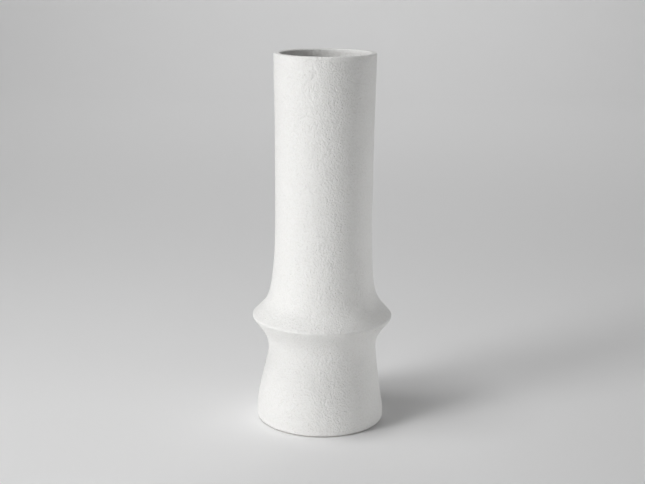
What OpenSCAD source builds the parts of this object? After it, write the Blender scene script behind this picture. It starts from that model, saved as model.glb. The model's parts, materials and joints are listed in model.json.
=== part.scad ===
// Tall stoneware vase: a straight tube on a flared foot, with a sharp ring where the two meet.
// It is one hollow fired body, a glaze coat outside, a glaze liner inside and felt pads under the foot.
// +Z is up and the origin is on the axis, on the surface that the vase stands on.

/* [Overall] */
// Height from the table to the top of the lip
height = 300; // [290:1:330]

/* [Foot] */
// Diameter of the foot where it is widest
foot_d = 103.8; // [100:0.2:107]
// Level up to which the foot's side is upright
foot_z = 10; // [8:0.5:12]
// Radius of the rounded edge near the table
foot_edge = 3; // [2:0.25:4]

/* [Waist] */
// Diameter of the waist between the foot and the ring
waist_d = 88; // [85:0.2:91]
// Level of the waist
waist_z = 60.5; // [58:0.5:62]

/* [Ring] */
// Diameter over the ring's edge
ring_d = 113.4; // [110:0.2:117]
// Level of the ring's edge
ring_z = 87.3; // [86:0.1:90]
// Radius of the ring's rounded edge
ring_edge = 2.2; // [1.4:0.1:2.8]
// Angle between the ring's underside and the vertical
ring_under_angle = 35; // [32:1:38]
// Angle between the ring's top and the vertical
ring_top_angle = 41; // [38:1:44]

/* [Tube] */
// Diameter where the tube is slimmest
tube_d = 78; // [77:0.2:81]
// Level where the tube is slimmest
tube_z = 175; // [165:1:190]
// Diameter of the tube at the lip
lip_d = 80.8; // [79.4:0.2:82]
// Radius of the lip's outer edge
lip_edge = 1.2; // [0.8:0.1:1.8]

/* [Inside] */
// Radius of the lip's inner edge
lip_inner_edge = 1.4; // [1:0.1:2]
// Diameter of the straight bore in the glazed tube
bore_d = 70.6; // [68:0.2:71]
// Level where the bore opens into the lower chamber
bore_low = 130; // [126:1:134]
// Thickness of the finished wall around the waist and the ring
wall = 4.6; // [4:0.1:5.4]
// Thickness of the finished wall at the bottom of the foot's side
foot_wall = 5.6; // [5:0.1:6.5]
// Radius of the hollow inside the ring
ring_hollow = 5; // [4:0.25:6]
// Level of the glazed floor inside
floor_z = 10; // [9:0.5:12]
// Radius of the corner between the floor and the wall
floor_corner = 9; // [6:0.5:11]

/* [Glaze] */
// Thickness of the fired glaze, outside and inside
glaze_t = 0.5; // [0.3:0.05:0.7]
// How far the outer glaze wraps under the foot's edge, in degrees
glaze_wrap = 55; // [40:1:60]

/* [Underside] */
// Inner diameter of the bare ring that the vase stands on
foot_ring_d = 76; // [72:0.5:78]
// Depth of the hollow inside the foot ring
recess_h = 3; // [2:0.25:4]
// Width of the slope around that hollow
recess_slope = 3.5; // [2.5:0.25:5]

/* [Felt pads] */
// Number of pads
pad_count = 4; // [3:1:6]
// Diameter of a pad
pad_d = 7.6; // [6:0.2:8]
// Thickness of a pad
pad_t = 0.5; // [0.4:0.1:1]

/* [Hidden] */
$fn = 180;

// Directions in a half section, as [radius, height]
UP = [0, 1];
DOWN = [0, -1];
OUT = [1, 0];

// How far each stretch of the outside keeps its direction before it starts to bend
FLARE_START = 7;
FLARE_END = 9;
UNDER_START = 12;
UNDER_END = 11.5;
SHOULDER_START = 17.4;
SHOULDER_END = 78;
TUBE_START = 80;
TUBE_END = 16;
// The same for the hollow
NECK_START = 31;
NECK_END = 2;
THROAT_START = 3;
THROAT_END = 14;
BELL_START = 15;
BELL_END = 5;

foot_r = foot_d / 2;
waist_r = waist_d / 2;
tube_r = tube_d / 2;
lip_r = lip_d / 2;
bore_r = bore_d / 2;
foot_ring_r = foot_ring_d / 2;

// The lip is level between the arcs of its outer and inner edges
lip_outer_centre = [lip_r - lip_edge, height - lip_edge];
lip_inner_centre = [bore_r + lip_inner_edge, height - lip_inner_edge];

// The foot's edge is an arc, and the bare clay under the glaze comes down to the top of the pads
foot_centre = [foot_r - foot_edge, pad_t + foot_edge - glaze_t];
recess_r = foot_ring_r - recess_slope;
recess_z = pad_t + recess_h;

// The ring's edge is an arc between its two slopes, and the hollow behind it has its own arc.
// That arc lies on the line that halves the ring, as far in as an even wall needs.
ring_centre = [ring_d / 2 - ring_edge, ring_z];
ring_half_angle = (180 - ring_under_angle - ring_top_angle) / 2;
ring_tilt = (ring_top_angle - ring_under_angle) / 2;
hollow_depth = (ring_hollow + wall - ring_edge) / sin(ring_half_angle);
hollow_centre = ring_centre - hollow_depth * [cos(ring_tilt), sin(ring_tilt)];
chamber_r = foot_r - foot_wall;

// The pads sit in the middle of the flat foot ring
pad_circle_r = (foot_ring_r + foot_centre.x) / 2;

function pad_name(i) = str("foot_pad_", i);
function polar(r, angle) = r * [cos(angle), sin(angle)];
// A heading that leans outwards from the vertical by an angle
function leaning(angle) = [sin(angle), cos(angle)];
// The side that faces away from the ceramic on a path that climbs the outside or descends the inside
function right_of(heading) = [heading.y, -heading.x] / norm(heading);

// A smooth stretch of n steps from p to q, which leaves along u and arrives along v.
// a and b say how long it keeps those directions. Each sample is [point, outward normal].
function stretch(p, u, a, q, v, b, n) =
    let (near = p + a * u, far = q - b * v)
    [for (i = [0 : n])
        let (t = i / n, s = 1 - t)
        let (heading = s * s * (near - p) + 2 * s * t * (far - near) + t * t * (q - far))
        [s ^ 3 * p + 3 * s * s * t * near + 3 * s * t * t * far + t ^ 3 * q, right_of(heading)]];

// A rounded edge or, with side = -1, a rounded hollow, as the same kind of samples
function arc(centre, r, from, to, n, side = 1) =
    [for (i = [0 : n])
        let (a = from + (to - from) * i / n)
        [centre + polar(r, a), side * polar(1, a)]];

// A path without the samples that repeat the end of the stretch before
function joined(path) =
    [for (i = [0 : len(path) - 1])
        if (i == 0 || norm(path[i][0] - path[i - 1][0]) > 0.001) path[i]];

// The points at a depth under a path's surface
function below(path, depth) = [for (sample = path) sample[0] - depth * sample[1]];
function reversed(list) = [for (i = [len(list) - 1 : -1 : 0]) list[i]];

// The glazed outside, from the glaze's edge under the foot up to the top of the lip
outside = joined(concat(
    arc(foot_centre, foot_edge, -glaze_wrap, 0, 6),
    stretch([foot_r, foot_z], UP, FLARE_START, [waist_r, waist_z], UP, FLARE_END, 12),
    stretch(
        [waist_r, waist_z], UP, UNDER_START,
        ring_centre + polar(ring_edge, -ring_under_angle), leaning(ring_under_angle), UNDER_END, 12
    ),
    arc(ring_centre, ring_edge, -ring_under_angle, ring_top_angle, 8),
    stretch(
        ring_centre + polar(ring_edge, ring_top_angle), leaning(-ring_top_angle), SHOULDER_START,
        [tube_r, tube_z], UP, SHOULDER_END, 20
    ),
    stretch([tube_r, tube_z], UP, TUBE_START, [lip_r, lip_outer_centre.y], UP, TUBE_END, 10),
    arc(lip_outer_centre, lip_edge, 0, 90, 6)
));

// The glazed inside, from the top of the lip down the bore and the hollow to the middle of the floor
inside = joined(concat(
    [[[lip_outer_centre.x, height], UP]],
    arc(lip_inner_centre, lip_inner_edge, 90, 180, 6),
    stretch(
        [bore_r, bore_low], DOWN, NECK_START,
        hollow_centre + polar(ring_hollow, ring_top_angle), -leaning(-ring_top_angle), NECK_END, 16
    ),
    arc(hollow_centre, ring_hollow, ring_top_angle, -ring_under_angle, 8, -1),
    stretch(
        hollow_centre + polar(ring_hollow, -ring_under_angle), -leaning(ring_under_angle), THROAT_START,
        [waist_r - wall, waist_z], DOWN, THROAT_END, 12
    ),
    stretch(
        [waist_r - wall, waist_z], DOWN, BELL_START,
        [chamber_r, floor_z + floor_corner], DOWN, BELL_END, 10
    ),
    arc([chamber_r - floor_corner, floor_z + floor_corner], floor_corner, 0, -90, 8, -1),
    [[[0, floor_z], UP]]
));

// The bare underside, from the middle of the recess out to the rounded edge of the foot
underside = concat(
    [[0, recess_z]],
    [for (sample = stretch(
        [recess_r, recess_z], OUT, recess_slope / 2, [foot_ring_r, pad_t], OUT, recess_slope / 2, 8
    )) sample[0]],
    [for (sample = arc(foot_centre, foot_edge, -90, -glaze_wrap, 4)) sample[0] - glaze_t * sample[1]]
);

// The fired clay, with its outside, hollow, floor and foot ring in one piece
module stoneware_body() {
    color("#d9cfc0")
        rotate_extrude()
            polygon(concat(underside, below(outside, glaze_t), below(inside, glaze_t)));
}

// A coat of even thickness over a path
module glaze_coat(path) {
    rotate_extrude()
        polygon(concat(below(path, 0), reversed(below(path, glaze_t))));
}

// The white coat over the outside, from the lip to just above the bare foot ring
module outer_glaze() {
    color("#e9e7e2") glaze_coat(outside);
}

// The white coat that makes the inside watertight
module liner_glaze() {
    color("#dddbd6") glaze_coat(inside);
}

// One self-adhesive felt pad, stuck to the foot ring
module foot_pad(i) {
    color("#b9b2a6")
        rotate([0, 0, 360 * (i - 0.5) / pad_count])
            translate([pad_circle_r, 0, 0])
                cylinder(h = pad_t, d = pad_d);
}

stoneware_body();
outer_glaze();
liner_glaze();
for (i = [1 : pad_count])
    foot_pad(i);
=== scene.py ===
"""The looks of a tall white stoneware vase, in metres: glaze coats, bare clay and felt pads."""
import json
import math

import bpy
from mathutils import Matrix, Vector, noise

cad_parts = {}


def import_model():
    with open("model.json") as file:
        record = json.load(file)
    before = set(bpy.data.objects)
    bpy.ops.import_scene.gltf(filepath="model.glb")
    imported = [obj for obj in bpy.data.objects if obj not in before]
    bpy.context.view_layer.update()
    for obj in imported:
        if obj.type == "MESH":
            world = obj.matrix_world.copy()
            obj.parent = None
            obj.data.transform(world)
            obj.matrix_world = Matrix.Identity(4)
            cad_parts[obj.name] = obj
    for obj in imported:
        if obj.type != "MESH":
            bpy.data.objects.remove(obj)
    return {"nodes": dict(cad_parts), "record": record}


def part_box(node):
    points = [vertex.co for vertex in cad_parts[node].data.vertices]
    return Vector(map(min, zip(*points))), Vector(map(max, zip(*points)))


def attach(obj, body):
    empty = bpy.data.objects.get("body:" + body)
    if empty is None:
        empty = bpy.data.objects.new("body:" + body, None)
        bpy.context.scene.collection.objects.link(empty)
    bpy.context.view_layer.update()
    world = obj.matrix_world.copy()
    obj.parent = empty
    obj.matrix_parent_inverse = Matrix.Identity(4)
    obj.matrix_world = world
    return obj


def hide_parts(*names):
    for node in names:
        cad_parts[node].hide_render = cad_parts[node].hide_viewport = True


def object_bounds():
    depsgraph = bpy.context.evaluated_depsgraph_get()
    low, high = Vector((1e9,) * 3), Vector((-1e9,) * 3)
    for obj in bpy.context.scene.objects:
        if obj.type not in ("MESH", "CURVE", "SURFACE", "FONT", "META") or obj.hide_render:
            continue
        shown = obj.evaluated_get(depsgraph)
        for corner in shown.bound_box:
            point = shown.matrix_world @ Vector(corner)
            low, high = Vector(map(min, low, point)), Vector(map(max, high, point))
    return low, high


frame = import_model()
cad_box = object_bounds()

MM = 0.001

# ---------------------------------------------------------------------------------------------
# Sizes. The overall ones come from the frame, the curves repeat the design's own named values.
# ---------------------------------------------------------------------------------------------
mounts = {m["name"]: m for m in frame["record"]["mounts"]}
height = cad_box[1].z
ring_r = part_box("outer_glaze")[1].x
pad_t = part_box("foot_pad_1")[1].z
bore_r = mounts["mouth"]["dims"]["r_mm"] * MM

foot_r = 51.9 * MM
foot_z = 10 * MM
foot_edge = 3 * MM
waist_r = 44 * MM
waist_z = 60.5 * MM
ring_z = 87.3 * MM
ring_edge = 2.2 * MM
under_angle = 35
top_angle = 41
tube_r = 39 * MM
tube_z = 175 * MM
lip_r = 40.4 * MM
lip_edge = 1.2 * MM
lip_inner_edge = 1.4 * MM
bore_low = 130 * MM
wall = 4.6 * MM
foot_wall = 5.6 * MM
ring_hollow = 5 * MM
floor_z = 10 * MM
floor_corner = 9 * MM
glaze_t = 0.5 * MM
glaze_wrap = 55
foot_ring_r = 38 * MM
recess_h = 3 * MM
recess_slope = 3.5 * MM

# How far each stretch of the outside keeps its direction before it starts to bend
FLARE_START, FLARE_END = 7 * MM, 9 * MM
UNDER_START, UNDER_END = 12 * MM, 11.5 * MM
SHOULDER_START, SHOULDER_END = 17.4 * MM, 78 * MM
TUBE_START, TUBE_END = 80 * MM, 16 * MM
# The same for the hollow
NECK_START, NECK_END = 31 * MM, 2 * MM
THROAT_START, THROAT_END = 3 * MM, 14 * MM
BELL_START, BELL_END = 15 * MM, 5 * MM

lip_outer_centre = (lip_r - lip_edge, height - lip_edge)
lip_inner_centre = (bore_r + lip_inner_edge, height - lip_inner_edge)
foot_centre = (foot_r - foot_edge, pad_t + foot_edge - glaze_t)
ring_centre = (ring_r - ring_edge, ring_z)

# How many rings of vertices lie along the half section, as a share of each path's own counts:
# all of them where the surface shows, fewer where one layer lies on another
FINE = 1.0
HIDDEN = 0.4
SEGMENTS = 256
# Shorter than this is nothing, in metres
TINY = 1e-6


# ---------------------------------------------------------------------------------------------
# The half section, as a path of (point, outward normal) samples in (radius, height)
# ---------------------------------------------------------------------------------------------
UP = Vector((0, 1))
DOWN = Vector((0, -1))
OUT = Vector((1, 0))


def polar(r, degrees):
    a = math.radians(degrees)
    return r * Vector((math.cos(a), math.sin(a)))


def leaning(degrees):
    """A heading that leans outwards from the vertical."""
    a = math.radians(degrees)
    return Vector((math.sin(a), math.cos(a)))


def stretch(p, u, a, q, v, b, n):
    """A smooth curve of n steps from p, leaving along u, to q, arriving along v."""
    p, q = Vector(p), Vector(q)
    near, far = p + a * u, q - b * v
    samples = []
    for i in range(n + 1):
        t = i / n
        s = 1 - t
        point = s**3 * p + 3 * s * s * t * near + 3 * s * t * t * far + t**3 * q
        heading = (s * s * (near - p) + 2 * s * t * (far - near) + t * t * (q - far)).normalized()
        samples.append((point, Vector((heading.y, -heading.x))))
    return samples


def arc(centre, r, start, end, n, side=1):
    """A rounded edge or, with side=-1, a rounded hollow."""
    angles = [start + (end - start) * i / n for i in range(n + 1)]
    return [(Vector(centre) + polar(r, a), side * polar(1, a)) for a in angles]


def straight(p, q, normal, n):
    """A straight line of n steps."""
    p, q = Vector(p), Vector(q)
    return [(p.lerp(q, i / n), normal) for i in range(n + 1)]


def joined(*paths):
    """The paths in one, without the samples that repeat the end of the path before."""
    whole = []
    for path in paths:
        for sample in path:
            if not whole or (sample[0] - whole[-1][0]).length > TINY:
                whole.append(sample)
    return whole


def outside_path(detail):
    """The glazed outside, from the glaze's edge under the foot up to the top of the lip."""
    def steps(n):
        return math.ceil(n * detail)

    under = Vector(ring_centre) + polar(ring_edge, -under_angle)
    top = Vector(ring_centre) + polar(ring_edge, top_angle)
    return joined(
        arc(foot_centre, foot_edge, -glaze_wrap, 0, steps(10)),
        straight((foot_r, foot_centre[1]), (foot_r, foot_z), OUT, steps(4)),
        stretch((foot_r, foot_z), UP, FLARE_START, (waist_r, waist_z), UP, FLARE_END, steps(36)),
        stretch((waist_r, waist_z), UP, UNDER_START,
                under, leaning(under_angle), UNDER_END, steps(24)),
        arc(ring_centre, ring_edge, -under_angle, top_angle, steps(12)),
        stretch(top, leaning(-top_angle), SHOULDER_START,
                (tube_r, tube_z), UP, SHOULDER_END, steps(60)),
        stretch((tube_r, tube_z), UP, TUBE_START,
                (lip_r, lip_outer_centre[1]), UP, TUBE_END, steps(70)),
        arc(lip_outer_centre, lip_edge, 0, 90, steps(10)),
    )


def inside_path(detail):
    """The glazed inside, from the top of the lip down to the middle of the floor."""
    def steps(n):
        return math.ceil(n * detail)

    half_angle = math.radians((180 - under_angle - top_angle) / 2)
    depth = (ring_hollow + wall - ring_edge) / math.sin(half_angle)
    centre = Vector(ring_centre) - polar(depth, (top_angle - under_angle) / 2)
    chamber_r = foot_r - foot_wall
    corner = (chamber_r - floor_corner, floor_z + floor_corner)
    return joined(
        straight((lip_outer_centre[0], height), (lip_inner_centre[0], height), UP, steps(6)),
        arc(lip_inner_centre, lip_inner_edge, 90, 180, steps(12)),
        straight((bore_r, lip_inner_centre[1]), (bore_r, bore_low), -OUT, steps(70)),
        stretch((bore_r, bore_low), DOWN, NECK_START,
                centre + polar(ring_hollow, top_angle), -leaning(-top_angle), NECK_END, steps(24)),
        arc(centre, ring_hollow, top_angle, -under_angle, steps(8), -1),
        stretch(centre + polar(ring_hollow, -under_angle), -leaning(under_angle), THROAT_START,
                (waist_r - wall, waist_z), DOWN, THROAT_END, steps(16)),
        stretch((waist_r - wall, waist_z), DOWN, BELL_START,
                (chamber_r, corner[1]), DOWN, BELL_END, steps(20)),
        arc(corner, floor_corner, 0, -90, steps(12), -1),
        straight((corner[0], floor_z), (0, floor_z), UP, steps(16)),
    )


def underside_path():
    """The bare clay, from the middle of the recess out to the glaze's edge."""
    recess_r = foot_ring_r - recess_slope
    recess_z = pad_t + recess_h
    return joined(
        straight((0, recess_z), (recess_r, recess_z), DOWN, 60),
        stretch((recess_r, recess_z), OUT, recess_slope / 2,
                (foot_ring_r, pad_t), OUT, recess_slope / 2, 14),
        straight((foot_ring_r, pad_t), (foot_centre[0], pad_t), DOWN, 10),
        arc(foot_centre, foot_edge - glaze_t, -90, -glaze_wrap, 6),
    )


def sunk(path, depth):
    """The path at a depth under its surface."""
    return [(point - depth * normal, normal) for point, normal in path]


outside = outside_path(FINE)
inside = inside_path(FINE)
hidden_outside = outside_path(HIDDEN)
hidden_inside = inside_path(HIDDEN)


# ---------------------------------------------------------------------------------------------
# Meshes of revolution
# ---------------------------------------------------------------------------------------------
# Where the pot leans off its axis: level, how far up and down it reaches, and how far sideways
LEANS = ((20 * MM, 16 * MM, -0.95 * MM), (57 * MM, 9 * MM, 0.5 * MM), (98 * MM, 9 * MM, 0.5 * MM),
         (145 * MM, 42 * MM, 0.3 * MM), (300 * MM, 60 * MM, -0.4 * MM))
# The lip's tilt, and the level from which the tube leans into it
LIP_TILT = math.radians(0.65)
TILT_START = 200 * MM
# The skin's unevenness: how fast it varies round and up the pot, its seed place and its depth
BROAD = ((18, 18, 9), (3.1, 7.7, 1.3), 0.14)
LOCAL = ((70, 70, 45), (9.2, 0.4, 5.5), 0.04)
# The turning tool's spiral: pitch, depth, and how it fades in at the middle and out at the rim
SPIRAL_PITCH = 3.1 * MM
SPIRAL_DEPTH = 0.07 * MM
SPIRAL_FADE_IN = 3 * MM
SPIRAL_FADE_OUT = 2 * MM


def hand_made(co):
    """How a hand-finished pot strays from the true turned form: a slow lean, a lip that isn't quite
    level and an uneven skin."""
    lean = sum(push * math.exp(-((co.z - level) / reach) ** 2) for level, reach, push in LEANS)
    tilt = max(0, (co.z - TILT_START) / (height - TILT_START)) ** 2 * math.tan(LIP_TILT) * co.x
    swell = sum(depth * noise.noise(co * Vector(rate) + Vector(seed))
                for rate, seed, depth in (BROAD, LOCAL))
    outward = Vector((co.x, co.y, 0))
    if outward.length > TINY:
        outward.normalize()
    return co + outward * swell * MM + Vector((lean, 0, tilt))


def turned_underside(co):
    """The same, with the spiral that the turning tool leaves in the recess."""
    r = math.hypot(co.x, co.y)
    recess_left = foot_ring_r - recess_slope - r
    fade = min(1, r / SPIRAL_FADE_IN) * min(1, max(0, recess_left / SPIRAL_FADE_OUT))
    groove = 0
    if co.z < floor_z / 2 and fade > 0:
        turn = math.atan2(co.y, co.x)
        groove = SPIRAL_DEPTH * fade * math.sin(2 * math.pi * r / SPIRAL_PITCH - turn)
    return hand_made(co) + Vector((0, 0, groove))


def revolve(name, sections, segments=SEGMENTS, shape=hand_made):
    """A closed body of revolution from sections of (radius, height) points in order.

    A point on the axis closes the surface there. Where one section doesn't start at the end of the
    one before, the face between them has creased edges.
    """
    verts, faces, rings, creased = [], [], [], []
    for k, section in enumerate(sections):
        shared = k > 0 and (section[0] - sections[k - 1][-1]).length < TINY
        if not shared and len(sections) > 1:
            creased += [len(rings) - 1, len(rings)]
        for point in section[1:] if shared else section:
            start = len(verts)
            if point.x < TINY:
                verts.append(shape(Vector((0, 0, point.y))))
            else:
                angles = [2 * math.pi * j / segments for j in range(segments)]
                verts += [shape(Vector((point.x * math.cos(a), point.x * math.sin(a), point.y)))
                          for a in angles]
            rings.append(range(start, len(verts)))
    pairs = list(zip(rings, rings[1:]))
    if len(rings[0]) > 1:
        pairs.append((rings[-1], rings[0]))
    for low, high in pairs:
        for j in range(segments):
            m = (j + 1) % segments
            if len(low) > 1 and len(high) > 1:
                faces.append((low[j], low[m], high[m], high[j]))
            elif len(high) > 1:
                faces.append((low[0], high[m], high[j]))
            elif len(low) > 1:
                faces.append((low[j], low[m], high[0]))
    mesh = bpy.data.meshes.new(name)
    mesh.from_pydata([tuple(v) for v in verts], [], faces)
    mesh.polygons.foreach_set("use_smooth", [True] * len(mesh.polygons))
    on_crease = {v for ring in creased for v in rings[ring] if len(rings[ring]) > 1}
    flags = [e.vertices[0] in on_crease and e.vertices[1] in on_crease
             and abs(e.vertices[0] - e.vertices[1]) < segments for e in mesh.edges]
    mesh.attributes.new("sharp_edge", "BOOLEAN", "EDGE").data.foreach_set("value", flags)
    mesh.update()
    piece = bpy.data.objects.new(name, mesh)
    bpy.context.collection.objects.link(piece)
    return piece


def points(path):
    """A path's points, without their normals."""
    return [p for p, _ in path]


def bead(path):
    """The rounded edge where a coat ends, from its back round to the start of its front."""
    start, normal = path[0]
    heading = (path[1][0] - start).normalized()
    half = glaze_t / 2
    turns = [math.radians(180 * k / 6) for k in range(1, 6)]
    middle = start - half * normal
    return [middle - half * (math.cos(a) * normal + math.sin(a) * heading) for a in turns]


def coat(name, path, hidden_path, edge):
    """A glaze coat: the surface that shows, its edge and, under it, the face on the clay."""
    back = points(sunk(hidden_path, glaze_t))[::-1]
    return revolve(name, [points(path), back + edge])


# ---------------------------------------------------------------------------------------------
# Materials
# ---------------------------------------------------------------------------------------------
class Nodes:
    """Short hands for a material's nodes."""

    def __init__(self, name):
        self.material = bpy.data.materials.new(name)
        self.material.use_nodes = True
        self.tree = self.material.node_tree
        self.shader = next(n for n in self.tree.nodes if n.type == "BSDF_PRINCIPLED")
        self.place = self.add("ShaderNodeTexCoord").outputs["Object"]

    def add(self, kind):
        return self.tree.nodes.new(kind)

    def link(self, a, b):
        self.tree.links.new(a, b)

    def feed(self, sockets, values):
        """Each value goes into its socket: a link, a grey or number, or a colour."""
        for socket, value in zip(sockets, values):
            if isinstance(value, tuple):
                socket.default_value = (*value, 1)
            elif isinstance(value, (int, float)):
                socket.default_value = value
            else:
                self.link(value, socket)

    def noise(self, scale, detail=2.0, rough=0.5):
        node = self.add("ShaderNodeTexNoise")
        self.feed([node.inputs[k] for k in ("Scale", "Detail", "Roughness", "Vector")],
                  [scale, detail, rough, self.place])
        return node.outputs["Fac"]

    def cells(self, scale):
        """How far the nearest of the scattered points is, in cells."""
        node = self.add("ShaderNodeTexVoronoi")
        self.feed([node.inputs["Scale"], node.inputs["Vector"]], [scale, self.place])
        return node.outputs["Distance"]

    def radius(self):
        """The distance from the vase's axis."""
        flat = self.add("ShaderNodeVectorMath")
        flat.operation = "MULTIPLY"
        self.link(self.place, flat.inputs[0])
        flat.inputs[1].default_value = (1, 1, 0)
        length = self.add("ShaderNodeVectorMath")
        length.operation = "LENGTH"
        self.link(flat.outputs["Vector"], length.inputs[0])
        return length.outputs["Value"]

    def between(self, source, start, end, low=0.0, high=1.0):
        """low up to start and high from end on, with a soft step between them."""
        node = self.add("ShaderNodeMapRange")
        node.interpolation_type = "SMOOTHSTEP"
        self.feed(node.inputs, [source, start, end, low, high])
        return node.outputs["Result"]

    def math(self, operation, a, b):
        node = self.add("ShaderNodeMath")
        node.operation = operation
        self.feed(node.inputs, [a, b])
        return node.outputs["Value"]

    def mix(self, factor, a, b, blend="MIX"):
        node = self.add("ShaderNodeMix")
        node.data_type = "RGBA"
        node.blend_type = blend
        factor_in, a_in, b_in = node.inputs[0], node.inputs[6], node.inputs[7]
        self.feed([factor_in, a_in, b_in], [factor, a, b])
        return node.outputs[2]

    def bump(self, *reliefs):
        """reliefs: (height source, depth in metres), from coarse to fine."""
        normal = None
        for source, depth in reliefs:
            node = self.add("ShaderNodeBump")
            self.feed([node.inputs["Distance"], node.inputs["Height"]], [depth, source])
            if normal is not None:
                self.link(normal, node.inputs["Normal"])
            normal = node.outputs["Normal"]
        self.link(normal, self.shader.inputs["Normal"])


def glaze(name, base, roughness, sand):
    """A white satin-matte glaze over sandy clay. sand scales the depth of its fine relief."""
    n = Nodes(name)
    peel = n.noise(170, 2, 0.5)
    grain = n.noise(650, 2.5, 0.6)
    pits = n.between(n.cells(520), 0.02, 0.3)
    clouds = n.noise(28, 3, 0.5)
    tone = n.mix(clouds, tuple(c * 0.97 for c in base), base)
    tone = n.mix(n.between(grain, 0.6, 0.35), tone, (0.962, 0.96, 0.955), "MULTIPLY")
    specks = n.between(n.cells(290), 0.05, 0.1, 1, 0)
    tone = n.mix(n.math("MULTIPLY", specks, 0.3), tone, (0.30, 0.26, 0.21))
    n.link(tone, n.shader.inputs["Base Color"])
    n.link(n.between(grain, 0.25, 0.75, roughness - 0.06, roughness + 0.08),
           n.shader.inputs["Roughness"])
    n.shader.inputs["IOR"].default_value = 1.5
    n.bump((peel, 0.4 * MM * sand), (grain, 1.0 * MM * sand), (pits, 0.2 * MM * sand))
    return n.material


def bare_clay():
    """Sandy fired clay, toasted next to the glaze, as the turning tool and the kiln leave it."""
    n = Nodes("bare_stoneware")
    grain = n.noise(1400, 4, 0.7)
    patches = n.noise(60, 3, 0.55)
    grog = n.between(n.cells(420), 0.12, 0.2, 1, 0)
    tone = n.mix(patches, (0.60, 0.52, 0.41), (0.72, 0.66, 0.56))
    tone = n.mix(n.math("MULTIPLY", grog, 0.45), tone, (0.36, 0.27, 0.19))
    wobble = n.math("MULTIPLY", n.noise(45, 2, 0.5), 3 * MM)
    edge = n.math("ADD", n.radius(), wobble)
    toast = n.between(edge, foot_centre[0] - 1 * MM, foot_centre[0] + 2.6 * MM)
    tone = n.mix(n.math("MULTIPLY", toast, 0.6), tone, (0.50, 0.33, 0.20))
    n.link(tone, n.shader.inputs["Base Color"])
    n.link(n.between(grain, 0.2, 0.8, 0.75, 0.95), n.shader.inputs["Roughness"])
    n.bump((patches, 0.4 * MM), (grain, 0.35 * MM), (grog, 0.06 * MM))
    return n.material


def felt():
    """Pressed wool felt: matted fibres of mixed greys."""
    n = Nodes("felt")
    fibres = n.noise(2600, 5, 0.8)
    clumps = n.noise(500, 2, 0.5)
    tone = n.mix(fibres, (0.34, 0.31, 0.27), (0.64, 0.60, 0.54))
    tone = n.mix(clumps, tone, (0.50, 0.47, 0.42))
    n.link(tone, n.shader.inputs["Base Color"])
    n.shader.inputs["Roughness"].default_value = 0.95
    n.shader.inputs["Sheen Weight"].default_value = 0.4
    n.bump((clumps, 0.2 * MM), (fibres, 0.25 * MM))
    return n.material


# ---------------------------------------------------------------------------------------------
# The pieces
# ---------------------------------------------------------------------------------------------
def dress(piece, material, slot, *nodes):
    """Gives a piece its material and its body, and hides the CAD nodes it stands for. The slot is
    not used.
    """
    piece.data.materials.append(material)
    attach(piece, "root")
    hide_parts(*nodes)


WHITE = (0.84, 0.836, 0.822)
outer = coat("outer_glaze_coat", outside, hidden_outside, bead(outside))
dress(outer, glaze("outer_glaze", WHITE, roughness=0.42, sand=1.0), "outer_glaze", "outer_glaze")

liner = coat("liner_glaze_coat", inside, hidden_inside, [])
dress(liner, glaze("liner_glaze", WHITE, roughness=0.40, sand=0.8), "liner_glaze", "liner_glaze")

body = revolve(
    "stoneware_shell",
    [points(underside_path()), points(sunk(hidden_outside, glaze_t)),
     points(sunk(hidden_inside, glaze_t))],
    shape=turned_underside,
)
dress(body, bare_clay(), "bare_stoneware", "stoneware_body")


def felt_pad(node):
    """A punched felt disc with soft, fuzzy edges, standing where the frame's pad is."""
    low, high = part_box(node)
    middle = (low + high) / 2
    r = (high.x - low.x) / 2
    t = high.z - low.z
    soft = 0.2 * MM
    section = [Vector((0, 0))]
    section += [Vector((r * k / 6, 0)) for k in range(1, 6)]
    section += [Vector((r - soft, soft)) + polar(soft, -90 + 90 * k / 4) for k in range(5)]
    section += [Vector((r, t)), Vector((0, t))]

    def place(co):
        fuzz = noise.noise(co * 1800 + middle * 900) * 0.08 * MM
        outward = Vector((co.x, co.y, 0))
        moved = co + (outward.normalized() * fuzz if outward.length > TINY else Vector())
        return moved + Vector((middle.x, middle.y, low.z))

    return revolve(node + "_felt", [section], 64, shape=place)


pads = [name for name in frame["nodes"] if name.startswith("foot_pad")]
felt_material = felt()
for name in pads:
    dress(felt_pad(name), felt_material, "felt", name)


# ---------------------------------------------------------------------------------------------
# Floor, light and camera
# ---------------------------------------------------------------------------------------------
VASE_MIDDLE = Vector((0, 0, height / 2))
LAMP_REACH = 1.6
# The fills stand lower than the lip, so they leave the inside of the mouth dark
FILL_LEVEL = 0.11


def plain(name, colour, roughness):
    """A material of one colour, for the stage."""
    n = Nodes(name)
    n.shader.inputs["Base Color"].default_value = (*colour, 1)
    n.shader.inputs["Roughness"].default_value = roughness
    return n.material


def sheet(name, profile, half_width, material):
    """A plain stage surface: a profile of (y, z) points, drawn out sideways."""
    verts = [(side * half_width, y, z) for y, z in profile for side in (-1, 1)]
    faces = [(2 * k, 2 * k + 1, 2 * k + 3, 2 * k + 2) for k in range(len(profile) - 1)]
    mesh = bpy.data.meshes.new(name)
    mesh.from_pydata(verts, [], faces)
    mesh.polygons.foreach_set("use_smooth", [True] * len(faces))
    surface = bpy.data.objects.new(name, mesh)
    surface.data.materials.append(material)
    bpy.context.collection.objects.link(surface)


def stage():
    """A pale floor, and a wall that the floor sweeps up into well behind the vase."""
    paint = plain("pale_floor", (0.92, 0.92, 0.92), roughness=0.8)
    reach, sweep_y, sweep_r, top = 12.0, 2.2, 1.0, 3.0
    sheet("floor", [(-reach, 0), (reach, 0)], reach, paint)
    bend = [polar(sweep_r, -90 + 90 * k / 24) + Vector((sweep_y, sweep_r)) for k in range(25)]
    sheet("backdrop", bend + [Vector((sweep_y + sweep_r, top))], 2.5, paint)


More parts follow.
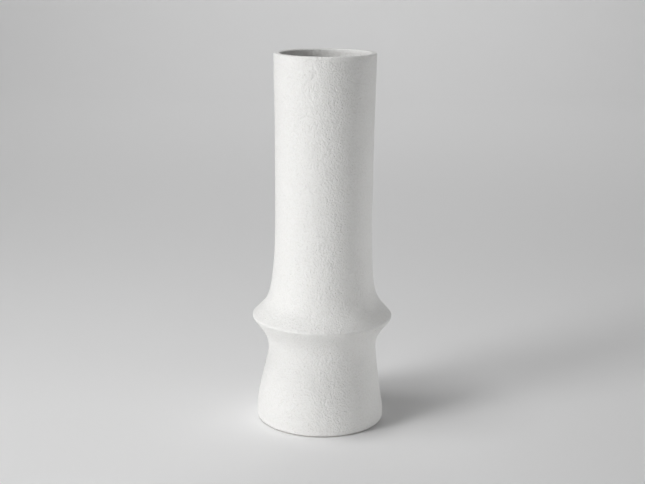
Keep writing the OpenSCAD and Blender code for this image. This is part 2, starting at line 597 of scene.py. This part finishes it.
def around(azimuth, elevation):
    """A lamp's place round the vase. Azimuth 0 is the camera's side, 90 the vase's right."""
    a, e = math.radians(azimuth), math.radians(elevation)
    away = Vector((math.sin(a) * math.cos(e), -math.cos(a) * math.cos(e), math.sin(e)))
    return VASE_MIDDLE + away * LAMP_REACH


def softbox(name, place, aim, size, power, spread=180):
    """A square soft light that doesn't show itself. A spread below 180 degrees is a grid on it."""
    data = bpy.data.lights.new(name, "AREA")
    data.shape = "SQUARE"
    data.size = size
    data.energy = power
    data.spread = math.radians(spread)
    light = bpy.data.objects.new(name, data)
    light.location = place
    light.rotation_euler = (aim - place).to_track_quat("-Z", "Y").to_euler()
    light.visible_camera = False
    bpy.context.collection.objects.link(light)


def camera():
    """About a metre away, looking down on the mouth, a touch rolled."""
    pitch, roll = math.radians(13.65), math.radians(0.865)
    data = bpy.data.cameras.new("camera")
    data.sensor_width = 36
    data.lens = 70.07
    data.clip_start = 0.05
    data.clip_end = 50
    cam = bpy.data.objects.new("camera", data)
    stand = Matrix.Translation((-0.0004, -0.9857, 0.3872))
    cam.matrix_world = (stand @ Matrix.Rotation(math.pi / 2 - pitch, 4, "X")
                        @ Matrix.Rotation(roll, 4, "Z"))
    bpy.context.collection.objects.link(cam)
    bpy.context.scene.camera = cam


def world(horizon, zenith):
    """A plain grey surrounding, with its own grey overhead and a soft change between the two."""
    w = bpy.data.worlds.new("studio")
    w.use_nodes = True
    nodes, links = w.node_tree.nodes, w.node_tree.links
    direction = nodes.new("ShaderNodeTexCoord").outputs["Generated"]
    split = nodes.new("ShaderNodeSeparateXYZ")
    links.new(direction, split.inputs["Vector"])
    fade = nodes.new("ShaderNodeMapRange")
    fade.interpolation_type = "SMOOTHSTEP"
    change_start, change_end = 0.1, 0.7
    for socket, value in zip(fade.inputs[1:5], (change_start, change_end, horizon, zenith)):
        socket.default_value = value
    links.new(split.outputs["Z"], fade.inputs["Value"])
    links.new(fade.outputs["Result"], nodes["Background"].inputs["Strength"])
    nodes["Background"].inputs["Color"].default_value = (1, 1, 1, 1)
    bpy.context.scene.world = w


stage()
softbox("key", around(-56, 15), VASE_MIDDLE, size=0.55, power=3.45, spread=90)
softbox("high_key", around(-70, 75), VASE_MIDDLE, size=0.5, power=9.5)
for name, azimuth, power in (
    ("left_fill", -55, 0.175), ("right_fill", 60, 0.12), ("back_fill", 110, 0.225)
):
    place = around(azimuth, 0)
    place.z = FILL_LEVEL
    softbox(name, place, VASE_MIDDLE, size=0.16, power=power, spread=40)
softbox("backdrop_light", Vector((0, 1.6, 2.2)), Vector((0, 3.2, 0.7)), size=1.5, power=22)
world(horizon=0.44, zenith=0.02)
camera()
bpy.context.scene.view_settings.view_transform = "Standard"
